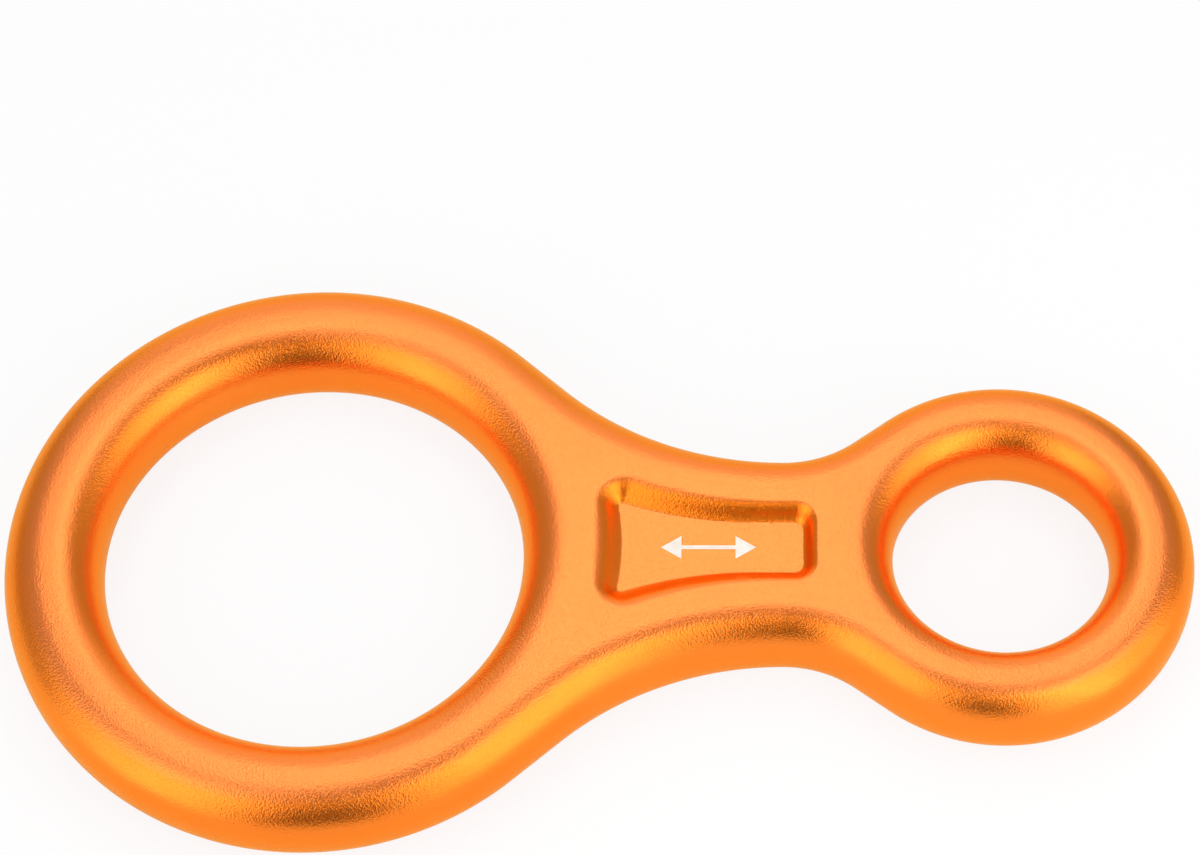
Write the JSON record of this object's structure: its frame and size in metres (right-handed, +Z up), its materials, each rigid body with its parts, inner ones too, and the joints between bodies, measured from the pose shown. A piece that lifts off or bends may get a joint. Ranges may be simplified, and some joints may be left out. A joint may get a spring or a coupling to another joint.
{
  "type": "figure eight descender",
  "caption": "Figure eight descender: a large rope ring and a small carabiner ring joined by a waisted neck, with a shallow tapered pocket in each face.",
  "frame": {"origin": "on the surface that the part lies on, under the middle of its outline", "axes": "+X along the part from the large rope eye to the small carabiner eye, +Y across it, +Z up through its thickness and along both eyes"},
  "size_m": [0.141, 0.0736, 0.012],
  "materials": {
    "anodised_aluminium": "satin orange anodised, fine blasted grain"
  },
  "bodies": {
    "root": {"descender_body": "anodised_aluminium"}
  },
  "joints": []
}
